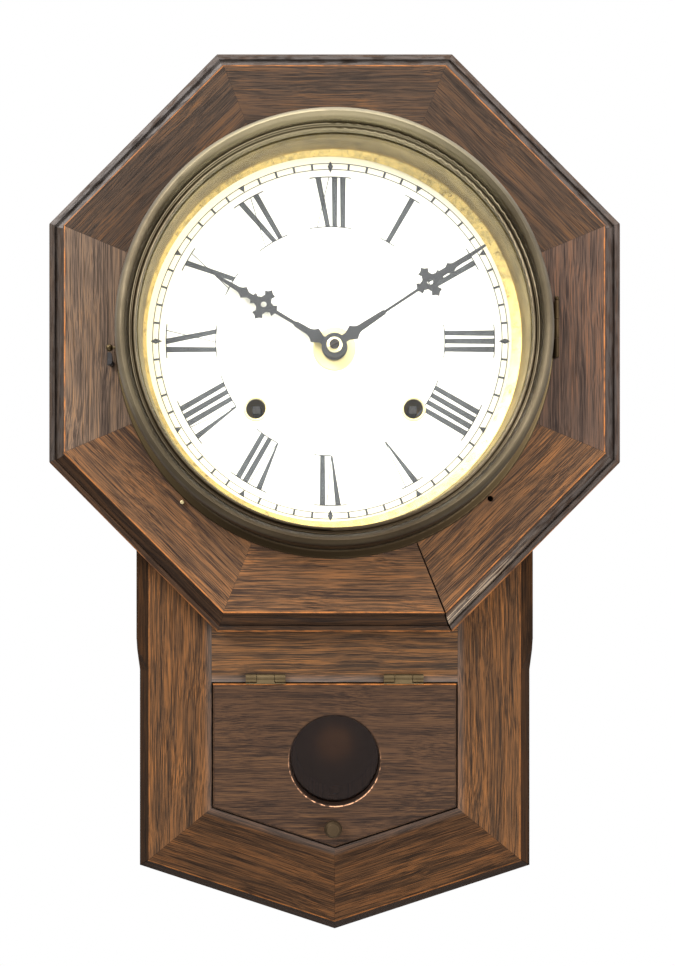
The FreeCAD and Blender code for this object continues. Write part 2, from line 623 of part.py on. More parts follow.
def make_strike_train():
    export("strike_second_wheel", [fuse([
        arbor(STRIKE_SECOND),
        gear(STRIKE_SECOND, 12, 0.8, -44.8, -49.5, STRIKE_MAIN, False),
        gear(STRIKE_SECOND, 48, 0.7, -51, -52.2, FLY, True)])])
    blade = block(FLY[0] - 11, FLY[0] + 11, -55, -61, FLY[1] - 0.4, FLY[1] + 0.4)
    export("fly", [fuse([arbor(FLY), gear(FLY, 8, 0.7, -49.8, -53.4, STRIKE_SECOND, False), blade])])
    head_at = (-37.5, -121.5)
    reach = vec(head_at[0] - HAMMER[0], 0, head_at[1] - HAMMER[1])
    wire = Part.makeCylinder(1.0, reach.Length, vec(HAMMER[0], -19, HAMMER[1]), reach)
    hammer = fuse([disc(HAMMER, PIVOT, -17, FRONT_PLATE - PLATE), disc(HAMMER, 2.5, -17, -21), wire,
                   disc(head_at, 4.0, -12, -21)])
    export("hammer", [hammer])


def make_gong():
    step = 2.6
    edges = []
    for k in range(10):
        side = 1 if k % 2 == 0 else -1
        middle = GONG[0] + (0 if k % 2 == 0 else step)
        radius = 5.0 + k * step
        edges.append(Part.Arc(vec(middle + side * radius, -15.5, GONG[1]),
                              vec(middle, -15.5, GONG[1] + side * radius),
                              vec(middle - side * radius, -15.5, GONG[1])).toShape())
    path = Part.Wire(edges)
    ring = Part.Wire(Part.makeCircle(1.1, vec(GONG[0] + 5.0, -15.5, GONG[1]), vec(0, 0, 1)))
    coil = path.makePipeShell([ring], True, True)
    base = block(GONG[0] - 4, GONG[0] + 6.5, -BACK_BOARD, -18, GONG[1] - 6, GONG[1] + 1)
    export("gong", [fuse([base, coil])])


def make_anchor():
    back = -32.6
    front = -34.8
    half = plate([(0, 44.2), (4.6, 42.2), (8.9, 37.9), (10.2, 38.6), (5.4, 45.4), (0, 49.4)], back, front)
    crutch = block(-1.2, 1.2, -25, -26.2, 6, ANCHOR[1])
    fork = block(-4, 4, -15.4, -26.2, 4, 8).cut(block(-1.25, 1.25, -10, -25, 0, 10))
    export("anchor_crutch", [fuse([half, mirrored(half), disc(ANCHOR, PIVOT, -24.6, FRONT_PLATE - PLATE),
                                   disc(ANCHOR, 2.4, -25, -26.6), crutch, fork])])


def make_pendulum():
    wire = Part.makeCylinder(0.9, ANCHOR[1] - 1.6 + 264, vec(0, ROD_Y, -264))
    eye = tube(ANCHOR, 2.8, 1.0 + RUNNING, -17, -21)
    export("pendulum_rod", [wire.fuse(eye).cut(disc(ANCHOR, 1.0 + RUNNING, -10, -25)).removeSplitter()])
    lens = turned([(0, -5.5), (14.0, -4.7, 24.0, -0.9), (24.0, 0.9), (14.0, 4.7, 0, 5.5)], (0, BOB_Z), ROD_Y)
    bore = Part.makeCylinder(0.9 + RUNNING, 80, vec(0, ROD_Y, BOB_Z - 40))
    export("pendulum_bob", [lens.cut(bore)])
    nut = Part.makeCylinder(4.0, 3.0, vec(0, ROD_Y, BOB_Z - 28))
    stem = Part.makeCylinder(2.0, 0.7, vec(0, ROD_Y, BOB_Z - 25))
    export("rating_nut", [nut.fuse(stem).cut(bore).removeSplitter()])


os.makedirs("parts", exist_ok=True)
make_box()
make_drop_frame()
make_octagon()
make_door()
make_door_hinges()
make_bezel()
make_bezel_hinge_and_catch()
make_dial()
make_hands()
make_plates()
make_mainsprings()
make_winding("time_winding_arbor", "time_main_wheel", TIME_MAIN, TIME_SECOND)
make_winding("strike_winding_arbor", "strike_main_wheel", STRIKE_MAIN, STRIKE_SECOND)
make_time_train()
make_motion_work()
make_strike_train()
make_gong()
make_anchor()
make_pendulum()
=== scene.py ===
"""Looks of the schoolhouse wall clock: stained oak, aged brass, painted dial, glass, light and camera."""
import math

import bmesh
import bpy
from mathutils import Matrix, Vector


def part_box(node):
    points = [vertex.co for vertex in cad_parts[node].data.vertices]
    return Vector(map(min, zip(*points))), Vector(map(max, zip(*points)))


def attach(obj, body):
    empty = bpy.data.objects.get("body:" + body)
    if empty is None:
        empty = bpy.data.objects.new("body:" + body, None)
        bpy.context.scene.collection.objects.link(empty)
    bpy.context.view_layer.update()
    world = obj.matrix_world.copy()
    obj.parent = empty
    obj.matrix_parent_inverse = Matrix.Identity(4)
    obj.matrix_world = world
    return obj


MM = 0.001

# Camera: faces the wall squarely from below the dial, in front of the octagon's face. Rise and side are lens
# shifts, as shares of the picture's longer side.
CAMERA_X = 1.4 * MM
CAMERA_BELOW_ARBOR = 123.6 * MM
CAMERA_DISTANCE = 600.0 * MM
CAMERA_LENS = 40.84
CAMERA_RISE = 0.0952
CAMERA_SIDE = 0.0004

# Dial print, measured from the centre of its minute track
PRINT_X = -2.3 * MM
PRINT_Z = 4.2 * MM
TRACK_INNER = 93.9 * MM
TRACK_OUTER = 97.2 * MM
TRACK_LINE = 0.45 * MM
TICK_WIDTH = 1.2 * MM
NUMERAL_INNER = 62.6 * MM
NUMERAL_OUTER = 89.8 * MM
THICK_STROKE = 3.1 * MM
THIN_STROKE = 0.45 * MM
STROKE_GAP = 1.35 * MM
SERIF_REACH = 3.2 * MM
SERIF_LINE = 0.6 * MM
PRINT_LIFT = 0.03 * MM
NUMERALS = ["XII", "I", "II", "III", "IIII", "V", "VI", "VII", "VIII", "IX", "X", "XI"]

# Bezel: radii of the two grooves in the spun ring and the inner side of its flange
OUTER_GROOVE = 108.3 * MM
INNER_GROOVE = 106.0 * MM
FLANGE_INNER = 115.0 * MM

# Wood sections
MOULDING = 11.0 * MM
DROP_CHAMFER = 7.0 * MM
WINDOW_RIM = 26.0 * MM
V_SLOPE = 0.3263

# Light: strengths of the surroundings below and above, and powers of the lamps in watts
SKY_BELOW = 0.85
SKY_ABOVE = 1.85
KEY_POWER = 145
FILL_POWER = 104
TOP_POWER = 26

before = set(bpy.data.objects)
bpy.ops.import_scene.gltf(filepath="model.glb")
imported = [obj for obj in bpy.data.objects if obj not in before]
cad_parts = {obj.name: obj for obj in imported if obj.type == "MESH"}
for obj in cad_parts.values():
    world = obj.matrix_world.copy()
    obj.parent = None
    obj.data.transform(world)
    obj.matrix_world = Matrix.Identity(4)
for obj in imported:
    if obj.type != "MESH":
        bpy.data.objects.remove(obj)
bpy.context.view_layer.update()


# ---- shader helper ----

class Shader:
    """One material with short calls to add and link its nodes."""

    def __init__(self, name):
        self.material = bpy.data.materials.new(name)
        self.material.use_nodes = True
        self.tree = self.material.node_tree
        self.surface = self.tree.nodes["Principled BSDF"]
        self.output = self.tree.nodes["Material Output"]
        self.coords = self.node("ShaderNodeTexCoord").outputs["Object"]

    def node(self, kind, inputs=None, **settings):
        node = self.tree.nodes.new(kind)
        for key, value in settings.items():
            setattr(node, key, value)
        for key, value in (inputs or {}).items():
            self.feed(node.inputs[key], value)
        return node

    def feed(self, socket, value):
        if isinstance(value, bpy.types.NodeSocket):
            self.tree.links.new(value, socket)
        else:
            socket.default_value = value

    def set(self, **inputs):
        for key, value in inputs.items():
            self.feed(self.surface.inputs[key.replace("_", " ")], value)

    def math(self, operation, a, b=0.0):
        return self.node("ShaderNodeMath", {0: a, 1: b}, operation=operation).outputs[0]

    def times(self, vector, scale):
        return self.node("ShaderNodeVectorMath", {0: vector, 1: scale}, operation="MULTIPLY").outputs[0]

    def noise(self, vector, scale, detail=3.0, roughness=0.55):
        inputs = {"Vector": vector, "Scale": scale, "Detail": detail, "Roughness": roughness}
        return self.node("ShaderNodeTexNoise", inputs).outputs["Fac"]

    def stretched(self, vector, along, across, detail=3.0, roughness=0.55):
        return self.noise(self.times(vector, (along, across, across)), 1.0, detail, roughness)

    def span(self, value, low, high, out_low=0.0, out_high=1.0):
        inputs = {"Value": value, "From Min": low, "From Max": high, "To Min": out_low, "To Max": out_high}
        return self.node("ShaderNodeMapRange", inputs).outputs["Result"]

    def mix(self, amount, first, second):
        node = self.node("ShaderNodeMix", data_type="RGBA")
        self.feed(node.inputs["Factor"], amount)
        self.feed(node.inputs[6], first)
        self.feed(node.inputs[7], second)
        return node.outputs[2]

    def bump(self, height, distance, strength=1.0, normal=None):
        inputs = {"Height": height, "Distance": distance, "Strength": strength}
        if normal is not None:
            inputs["Normal"] = normal
        return self.node("ShaderNodeBump", inputs).outputs["Normal"]

    def rounded(self, radius):
        """Normal with soft arrises, and a mask that is 1 along them."""
        soft = self.node("ShaderNodeBevel", {"Radius": radius}, samples=6).outputs["Normal"]
        flat = self.node("ShaderNodeNewGeometry").outputs["True Normal"]
        likeness = self.node("ShaderNodeVectorMath", {0: soft, 1: flat}, operation="DOT_PRODUCT")
        return soft, self.span(likeness.outputs["Value"], 0.995, 0.86)

    def radius_from(self, x, z):
        """Distance from a Y axis through (x, z)."""
        inputs = {"Vector": self.coords, "Location": (-x, 0, -z), "Scale": (1, 0, 1)}
        flat = self.node("ShaderNodeMapping", inputs).outputs[0]
        return self.node("ShaderNodeVectorMath", {0: flat}, operation="LENGTH").outputs["Value"]


def rgb(r, g, b):
    """Linear colour from display values of 0 to 255."""
    linear = []
    for value in (r, g, b):
        share = value / 255
        linear.append(share / 12.92 if share <= 0.04045 else ((share + 0.055) / 1.055) ** 2.4)
    return (*linear, 1.0)


# ---- wood ----

UPPER_STAIN = {"dark": rgb(31, 24, 19), "mid": rgb(52, 40, 31), "warm": rgb(78, 52, 30)}
LEFT_STAIN = {"dark": rgb(48, 38, 32), "mid": rgb(83, 68, 56), "warm": rgb(106, 80, 57)}
RIGHT_STAIN = {"dark": rgb(39, 29, 24), "mid": rgb(66, 52, 44), "warm": rgb(90, 61, 42)}
LOWER_STAIN = {"dark": rgb(41, 30, 24), "mid": rgb(78, 56, 38), "warm": rgb(115, 75, 43)}
DROP_STAIN = {"dark": rgb(36, 28, 22), "mid": rgb(68, 47, 31), "warm": rgb(102, 66, 36)}
# Painted light: the drop stain made lighter for the top rail, to offset the octagon's shadow on it
TOP_RAIL_LIT_STAIN = {"dark": rgb(38, 29, 22), "mid": rgb(73, 51, 33), "warm": rgb(109, 71, 36)}
RAIL_STAIN = {"dark": rgb(28, 20, 15), "mid": rgb(50, 34, 22), "warm": rgb(78, 49, 27)}
DOOR_STAIN = {"dark": rgb(29, 20, 15), "mid": rgb(53, 37, 26), "warm": rgb(72, 50, 31)}
CASE_STAIN = {"dark": rgb(33, 24, 19), "mid": rgb(52, 38, 28), "warm": rgb(72, 48, 31)}
BARE_PINE = {"dark": rgb(120, 92, 62), "mid": rgb(158, 124, 86), "warm": rgb(180, 142, 96)}
PORE_COLOUR = rgb(16, 12, 10)
WORN_COLOUR = rgb(151, 93, 46)
# Painted shade for sloping mouldings and chamfers, and for the bevel of the door's window
SLOPE_SHADE_COLOUR = rgb(14, 9, 7)
# Grey of the dust on inner edges, and of the painted sheen on mouldings
DUST_AND_SHEEN_COLOUR = rgb(86, 81, 78)
WOOD_GLOSS = 0.06
DROP_GLOSS = 0.004


def frame_front(node):
    """Y of a CAD node's front face."""
    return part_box(node)[0][1]


def reach(node, outward):
    """How far a CAD node extends along a direction given in degrees clockwise from up."""
    angle = math.radians(outward)
    direction = Vector((math.sin(angle), 0, math.cos(angle)))
    return max(vertex.co.dot(direction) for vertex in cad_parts[node].data.vertices)


def board_coords(m, outward):
    """Coordinates turned so that Z runs outward and X clockwise along a board."""
    inputs = {"Vector": m.coords, "Rotation": (0, -math.radians(outward), 0)}
    return m.node("ShaderNodeMapping", inputs).outputs[0]


def grain(m, local, stain, fineness):
    """Colour and height of oak whose fibres run along X of the local coordinates."""
    wander = m.math("MULTIPLY", m.math("SUBTRACT", m.stretched(local, 7, 22, 2), 0.5), 0.009)
    shift = m.node("ShaderNodeCombineXYZ", {"Y": wander, "Z": wander}).outputs[0]
    flow = m.node("ShaderNodeVectorMath", {0: local, 1: shift}, operation="ADD").outputs[0]
    bands = m.stretched(flow, 6, 260, 3, 0.6)
    streaks = m.stretched(flow, 34 * fineness, 1900 * fineness, 3, 0.7)
    tone = m.math("ADD", streaks, m.math("MULTIPLY", m.math("SUBTRACT", bands, 0.5), 0.55))
    pores = m.span(m.stretched(flow, 36 * fineness, 1500 * fineness, 2, 0.5), 0.56, 0.63)
    patches = m.span(m.noise(local, 24, 3), 0.36, 0.64, 0.35, 1.0)
    colour = m.mix(m.span(tone, 0.36, 0.54), stain["dark"], stain["mid"])
    colour = m.mix(m.math("MULTIPLY", m.span(tone, 0.5, 0.68), patches), colour, stain["warm"])
    colour = m.mix(m.math("MULTIPLY", pores, 0.55), colour, PORE_COLOUR)
    height = m.math("SUBTRACT", m.math("MULTIPLY", streaks, 0.6), pores)
    return colour, height, streaks


def band(m, value, centre, half, soft):
    """Mask that is 1 within half of a centre value and fades out over a soft margin."""
    offset = m.math("ABSOLUTE", m.math("SUBTRACT", value, centre))
    return m.span(offset, half + soft, half)


def oak(node, outward, seed, stain, fineness=1.0, edge=0.0, slope_shade=0.6, painted_sheen=0.0, lip=0.0, worn=0.8,
        dusty=0.0, gloss=WOOD_GLOSS):
    """Oak board with its grain square to the outward direction.

    Within edge of the outer side lies a moulding or chamfer: painted shade darkens it, a painted grey sheen
    lies in its middle, lip wears its outer corner and worn its inner one. Dusty greys the board's inner side.
    """
    m = Shader("oak " + node)
    local = board_coords(m, outward)
    offset = (seed, 0.13 * seed, 0.71 * seed)
    seeded = m.node("ShaderNodeVectorMath", {0: local, 1: offset}, operation="ADD").outputs[0]
    colour, height, fibres = grain(m, seeded, stain, fineness)
    across = m.node("ShaderNodeSeparateXYZ", {0: local}).outputs["Z"]
    ragged = m.span(m.stretched(seeded, 110, 500, 3), 0.38, 0.56, 0.2, 1.0)
    soft, arris = m.rounded(0.4 * MM)
    colour = m.mix(m.math("MULTIPLY", arris, 0.5), colour, PORE_COLOUR)
    inward = m.math("SUBTRACT", reach(node, outward), across)
    if edge:
        # Painted shade: the slope of the moulding or chamfer darkened
        sloping = m.span(inward, edge, edge - 0.4 * MM)
        colour = m.mix(m.math("MULTIPLY", sloping, slope_shade), colour, SLOPE_SHADE_COLOUR)
        # Painted highlight: a grey sheen in the middle of the moulding, standing in for light reflected off
        # the wax
        sheen = m.math("MULTIPLY", band(m, inward, 0.5 * edge, 0.28 * edge, 0.2 * edge), ragged)
        colour = m.mix(m.math("MULTIPLY", sheen, painted_sheen), colour, DUST_AND_SHEEN_COLOUR)
        corner = m.math("MULTIPLY", band(m, inward, 0.4 * MM, 0.3 * MM, 0.4 * MM), ragged)
        colour = m.mix(m.math("MULTIPLY", corner, lip), colour, WORN_COLOUR)
    inner_corner = m.math("MULTIPLY", band(m, inward, edge + 0.2 * MM, 0.15 * MM, 0.4 * MM), ragged)
    colour = m.mix(m.math("MULTIPLY", inner_corner, worn), colour, WORN_COLOUR)
    if dusty:
        from_inside = m.math("ADD", across, reach(node, outward + 180))
        dust = m.math("MULTIPLY", m.span(from_inside, 4.5 * MM, 0.5 * MM), m.span(fibres, 0.3, 0.6, 0.5, 1.0))
        colour = m.mix(m.math("MULTIPLY", dust, dusty), colour, DUST_AND_SHEEN_COLOUR)
    roughness = m.span(fibres, 0.3, 0.7, 0.45, 0.62)
    m.set(Base_Color=colour, Roughness=roughness, Specular_IOR_Level=gloss,
          Normal=m.bump(height, 0.15 * MM, 0.5, soft))
    return m


def wear_window(m, centre):
    """Stain rubbed pale on the lower rim of the round window in the pendulum door, over a bevel darkened by
    painted shade.
    """
    radius = m.radius_from(*centre)
    parts = m.node("ShaderNodeSeparateXYZ", {0: m.coords}).outputs
    low = m.span(parts["Z"], centre[1] + 9 * MM, centre[1] - 14 * MM)
    face = frame_front("pendulum_door")
    outside = m.span(parts["Y"], face + 0.5 * MM, face + 0.2 * MM)
    rim = m.math("MULTIPLY", band(m, radius, WINDOW_RIM, 0.15 * MM, 0.3 * MM), outside)
    ragged = m.span(m.noise(m.coords, 420, 3), 0.44, 0.6, 0.05, 0.85)
    colour = m.surface.inputs["Base Color"].links[0].from_socket
    pale = m.math("MULTIPLY", m.math("MULTIPLY", rim, low), ragged)
    # Painted shade: the bevel inside the window rim darkened
    bevelled = m.math("MULTIPLY", m.span(radius, WINDOW_RIM, WINDOW_RIM - 0.4 * MM), 0.75)
    colour = m.mix(bevelled, colour, SLOPE_SHADE_COLOUR)
    m.set(Base_Color=m.mix(pale, colour, rgb(196, 146, 112)))


def chip_moulding(m, node, outward):
    """Moulding split down to pale wood, most of all beside the open mitre at the board's clockwise end."""
    local = board_coords(m, outward)
    parts = m.node("ShaderNodeSeparateXYZ", {0: local}).outputs
    inward = m.math("SUBTRACT", reach(node, outward), parts["Z"])
    near_mitre = m.span(parts["X"], -15 * MM, 45 * MM)
    split = m.span(m.stretched(local, 40, 1100, 3, 0.6), 0.48, 0.6)
    strip = band(m, inward, 6.0 * MM, 1.2 * MM, 1.8 * MM)
    amount = m.math("MULTIPLY", m.math("MULTIPLY", near_mitre, strip), m.math("MULTIPLY", split, 0.75))
    colour = m.surface.inputs["Base Color"].links[0].from_socket
    m.set(Base_Color=m.mix(amount, colour, rgb(158, 138, 116)))


# ---- metal, paint and glass ----

def brass(name, bright, dull, tarnish=0.5, roughness=0.32, scale=40.0):
    """Aged brass: patina in cloudy patches, fine scratches and brighter arrises."""
    m = Shader(name)
    cloud = m.span(m.noise(m.coords, scale, 5, 0.6), 0.5 - 0.5 * tarnish, 0.75)
    fine = m.noise(m.coords, 900, 3, 0.6)
    colour = m.mix(cloud, dull, bright)
    soft, edge = m.rounded(0.4 * MM)
    colour = m.mix(m.math("MULTIPLY", edge, 0.5), colour, bright)
    rough = m.math("ADD", m.span(cloud, 0, 1, roughness + 0.18, roughness), m.math("MULTIPLY", fine, 0.08))
    m.set(Base_Color=colour, Roughness=rough, Metallic=1.0, Normal=m.bump(fine, 0.02 * MM, 0.4, soft))
    return m.material


def around(m, centre, turns):
    """Coordinates that run with the angle round a Y axis and with the radius, for marks left by spinning."""
    parts = m.node("ShaderNodeSeparateXYZ", {0: m.coords}).outputs
    x = m.math("SUBTRACT", parts["X"], centre[0])
    z = m.math("SUBTRACT", parts["Z"], centre[1])
    angle = m.math("MULTIPLY", m.math("ARCTAN2", z, x), turns)
    radius = m.radius_from(*centre)
    return radius, m.node("ShaderNodeCombineXYZ", {"X": radius, "Y": parts["Y"], "Z": angle}).outputs[0]


def bezel_brass(name, centre):
    """Spun brass: lines round the axis, dull tarnish in the grooves, painted shade along the bottom and a
    painted highlight along the top.
    """
    m = Shader(name)
    radius, spun = around(m, centre, 0.006)
    height = m.node("ShaderNodeSeparateXYZ", {0: m.coords}).outputs["Z"]
    lines = m.noise(spun, 1500, 3, 0.6)
    cloud = m.span(m.noise(m.coords, 30, 5, 0.65), 0.35, 0.7)
    colour = m.mix(cloud, rgb(80, 71, 57), rgb(104, 94, 76))
    colour = m.mix(m.span(lines, 0.35, 0.65, 0.0, 0.35), colour, rgb(64, 56, 38))
    groove = m.math("MAXIMUM", band(m, radius, OUTER_GROOVE, 0.3 * MM, 0.5 * MM),
                    band(m, radius, INNER_GROOVE, 0.3 * MM, 0.4 * MM))
    colour = m.mix(m.math("MULTIPLY", groove, 0.85), colour, rgb(41, 33, 21))
    flange = m.span(radius, FLANGE_INNER, FLANGE_INNER + 1.5 * MM)
    colour = m.mix(m.math("MULTIPLY", flange, 0.85), colour, rgb(63, 52, 33))
    # Painted shade: the lower part of the ring darkened, where the roll turns away from the light above
    bottom = m.span(height, centre[1] - 40 * MM, centre[1] - 105 * MM)
    colour = m.mix(m.math("MULTIPLY", bottom, 0.85), colour, rgb(33, 25, 16))
    # Painted highlight: the upper part of the ring lightened, where the roll faces the light above
    top = m.span(height, centre[1] + 60 * MM, centre[1] + 110 * MM)
    colour = m.mix(m.math("MULTIPLY", top, 0.6), colour, rgb(150, 140, 112))
    rough = m.math("ADD", m.span(cloud, 0, 1, 0.44, 0.34), m.math("MULTIPLY", lines, 0.08))
    m.set(Base_Color=colour, Roughness=rough, Metallic=1.0, Normal=m.bump(lines, 0.005 * MM, 0.4))
    return m.material


def sight_brass(name, centre):
    """Inner ring: mottled olive tarnish above, a ragged golden edge at the dial."""
    m = Shader(name)
    spun = around(m, centre, 0.03)[1]
    depth = m.node("ShaderNodeSeparateXYZ", {0: m.coords}).outputs["Y"]
    face = frame_front("octagon_board_top")
    cloud = m.span(m.noise(spun, 60, 5, 0.7), 0.36, 0.66)
    blotch = m.span(m.noise(m.coords, 95, 4, 0.65), 0.42, 0.62)
    colour = m.mix(cloud, rgb(118, 104, 68), rgb(158, 142, 98))
    colour = m.mix(m.math("MULTIPLY", blotch, 0.4), colour, rgb(66, 57, 36))
    near_dial = m.span(depth, face - 6.6 * MM, face - 3.8 * MM)
    ragged = m.math("MULTIPLY", near_dial, m.span(m.noise(m.coords, 210, 4, 0.7), 0.36, 0.56, 0.35, 1.0))
    colour = m.mix(ragged, colour, rgb(218, 192, 120))
    rust = m.math("MULTIPLY", near_dial, m.span(m.noise(m.coords, 480, 3, 0.6), 0.62, 0.7))
    colour = m.mix(m.math("MULTIPLY", rust, 0.7), colour, rgb(91, 55, 25))
    m.set(Base_Color=colour, Roughness=m.span(cloud, 0, 1, 0.52, 0.4), Metallic=1.0)
    return m.material


def nut_brass(name, centre):
    """Bright brass washer and boss round a blackened hole."""
    m = Shader(name)
    radius = m.radius_from(*centre)
    fine = m.noise(m.coords, 900, 3, 0.6)
    colour = m.mix(m.span(fine, 0.35, 0.65), rgb(248, 236, 186), rgb(255, 250, 218))
    colour = m.mix(m.span(radius, 2.9 * MM, 2.6 * MM), colour, rgb(70, 62, 60))
    m.set(Base_Color=colour, Roughness=0.3, Metallic=1.0, Normal=m.bump(fine, 0.02 * MM, 0.4))
    return m.material


def steel(name, colour, roughness=0.35, metallic=1.0):
    m = Shader(name)
    fine = m.noise(m.coords, 700, 3, 0.6)
    cloud = m.noise(m.coords, 60, 4, 0.6)
    soft, edge = m.rounded(0.25 * MM)
    shade = m.mix(m.span(cloud, 0.35, 0.7), [c * 0.8 for c in colour[:3]] + [1], colour)
    shade = m.mix(m.math("MULTIPLY", edge, 0.3), shade, [min(1, c * 2.2) for c in colour[:3]] + [1])
    rough = m.math("ADD", roughness, m.math("MULTIPLY", fine, 0.12))
    m.set(Base_Color=shade, Roughness=rough, Metallic=metallic, Normal=m.bump(fine, 0.02 * MM, 0.4, soft))
    return m.material


def dial_paint(name, centre):
    """Cream paint that has yellowed towards the rim, with faint specks."""
    m = Shader(name)
    radius = m.radius_from(*centre)
    cloud = m.span(m.noise(m.coords, 14, 4), 0.35, 0.7)
    colour = m.mix(cloud, rgb(243, 241, 230), rgb(246, 245, 237))
    aged = m.math("MULTIPLY", m.span(radius, 88 * MM, 100 * MM), 0.75)
    colour = m.mix(aged, colour, rgb(238, 226, 182))
    specks = m.math("MULTIPLY", m.span(m.noise(m.coords, 420, 2), 0.74, 0.78), 0.25)
    colour = m.mix(specks, colour, rgb(190, 170, 120))
    orange_peel = m.noise(m.coords, 500, 2)
    m.set(Base_Color=colour, Roughness=0.38, Normal=m.bump(orange_peel, 0.01 * MM, 0.3))
    return m.material


def print_ink(name):
    m = Shader(name)
    wear = m.span(m.noise(m.coords, 300, 3), 0.35, 0.7)
    m.set(Base_Color=m.mix(wear, rgb(43, 46, 50), rgb(62, 66, 70)), Roughness=0.5)
    return m.material


def glass(name, tint, sheen, haze=0.02):
    """Thin pane: clear straight through from both sides, with a reflection that grows at a slant."""
    m = Shader(name)
    smear = m.span(m.noise(m.coords, 22, 4), 0.4, 0.7, haze, haze + 0.04)
    clear = m.node("ShaderNodeBsdfTransparent", {"Color": tint})
    gloss = m.node("ShaderNodeBsdfAnisotropic", {"Color": sheen, "Roughness": smear})
    facing = m.node("ShaderNodeLayerWeight", {"Blend": 0.5}).outputs["Facing"]
    share = m.span(m.math("POWER", facing, 5.0), 0.0, 1.0, 0.04, 1.0)
    both = m.node("ShaderNodeMixShader", {0: share, 1: clear.outputs[0], 2: gloss.outputs[0]})
    m.tree.links.new(both.outputs[0], m.output.inputs["Surface"])
    m.tree.nodes.remove(m.surface)
    return m.material


# ---- dial print ----

def solid_from(name, outlines, y, thickness, material, body):
    """Thin raised shapes from (x, z) outlines, joined in one object that rides on a body."""
    mesh = bmesh.new()
    for outline in outlines:
        back = [mesh.verts.new((x, y, z)) for x, z in outline]
        front = [mesh.verts.new((x, y - thickness, z)) for x, z in outline]
        count = len(outline)
        mesh.faces.new(back)
        mesh.faces.new(reversed(front))
        for k in range(count):
            after = (k + 1) % count
            mesh.faces.new((back[after], back[k], front[k], front[after]))
    bmesh.ops.recalc_face_normals(mesh, faces=mesh.faces)
    data = bpy.data.meshes.new(name)
    mesh.to_mesh(data)
    mesh.free()
    data.materials.append(material)
    piece = bpy.data.objects.new(name, data)
    bpy.context.scene.collection.objects.link(piece)
    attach(piece, body)
    return piece


def polar(radius, angle):
    """Dial point at an angle clockwise from 12."""
    return (PRINT_X + radius * math.sin(angle), PRINT_Z + radius * math.cos(angle))


def arc_band(radius, width, start, end, steps):
    """Quads that follow a circle about the print's centre."""
    quads = []
    for k in range(steps):
        a = start + (end - start) * k / steps
        b = start + (end - start) * (k + 1) / steps
        inner = radius - width / 2
        outer = radius + width / 2
        quads.append([polar(inner, a), polar(outer, a), polar(outer, b), polar(inner, b)])
    return quads


def minute_track():
    shapes = arc_band(TRACK_INNER, TRACK_LINE, 0, 2 * math.pi, 240)
    shapes += arc_band(TRACK_OUTER, TRACK_LINE, 0, 2 * math.pi, 240)
    for minute in range(60):
        angle = math.radians(6 * minute)
        half = math.asin(TICK_WIDTH / 2 / TRACK_OUTER)
        if minute % 5:
            shapes.append([polar(TRACK_INNER, angle - half), polar(TRACK_OUTER, angle - half),
                           polar(TRACK_OUTER, angle + half), polar(TRACK_INNER, angle + half)])
        elif minute % 15:
            shapes.append([polar(TRACK_INNER - 0.2 * MM, angle),
                           polar(TRACK_OUTER + 0.4 * MM, angle - 3 * half),
                           polar(TRACK_OUTER + 0.4 * MM, angle + 3 * half)])
        else:
            middle = (TRACK_INNER + TRACK_OUTER) / 2
            shapes.append([polar(TRACK_INNER - 2.0 * MM, angle), polar(middle, angle - 2.6 * half),
                           polar(TRACK_OUTER + 1.2 * MM, angle), polar(middle, angle + 2.6 * half)])
    return shapes


def strokes(letters):
    """Strokes as (inner x, outer x, inner width, outer width), the numeral's width, and its feet.

    The feet are the first and last x at the inner end, leaving out a V, which comes to a bare point.
    """
    result = []
    feet = []
    x = 0.0
    for letter in letters:
        start = x
        if letter == "I":
            middle = x + THICK_STROKE / 2
            result.append((middle, middle, 0.84 * THICK_STROKE, THICK_STROKE))
            x += THICK_STROKE + STROKE_GAP
        elif letter == "V":
            result.append((x + 5.0 * MM, x + THICK_STROKE / 2, 0.25 * THICK_STROKE, THICK_STROKE))
            result.append((x + 5.2 * MM, x + 7.8 * MM, THIN_STROKE, THIN_STROKE))
            x += 8.0 * MM + 0.4 * STROKE_GAP
        else:
            result.append((x + 7.0 * MM, x + THICK_STROKE / 2, 0.84 * THICK_STROKE, THICK_STROKE))
            result.append((x + 1.2 * MM, x + 7.6 * MM, THIN_STROKE, THIN_STROKE))
            x += 8.6 * MM + 0.4 * STROKE_GAP
        if letter != "V":
            feet += [start, x - STROKE_GAP]
    return result, x - STROKE_GAP, feet


def numeral(letters, hour):
    """One Roman numeral set radially, closed by thin serifs along two arcs."""
    angle = math.radians(30 * hour)
    across = Vector((math.cos(angle), -math.sin(angle)))
    outward = Vector((math.sin(angle), math.cos(angle)))
    centre = Vector((PRINT_X, PRINT_Z))
    lines, width, feet = strokes(letters)
    shapes = []
    for inner_x, outer_x, inner_width, outer_width in lines:
        corners = []
        inner = (inner_x, NUMERAL_INNER, inner_width / 2)
        outer = (outer_x, NUMERAL_OUTER, outer_width / 2)
        for x, radius, half in (inner, outer):
            offset = x - width / 2
            depth = math.sqrt(radius ** 2 - offset ** 2)
            middle = centre + outward * depth + across * offset
            corners.append((middle - across * half, middle + across * half))
        shapes.append([corners[0][0], corners[1][0], corners[1][1], corners[0][1]])
    serifs = [(NUMERAL_OUTER, 0.0, width)]
    if feet:
        serifs.append((NUMERAL_INNER, feet[0], feet[-1]))
    for radius, first, last in serifs:
        start = angle + math.asin((first - width / 2 - SERIF_REACH) / radius)
        end = angle + math.asin((last - width / 2 + SERIF_REACH) / radius)
        shapes += arc_band(radius, SERIF_LINE, start, end, 12)
    return shapes


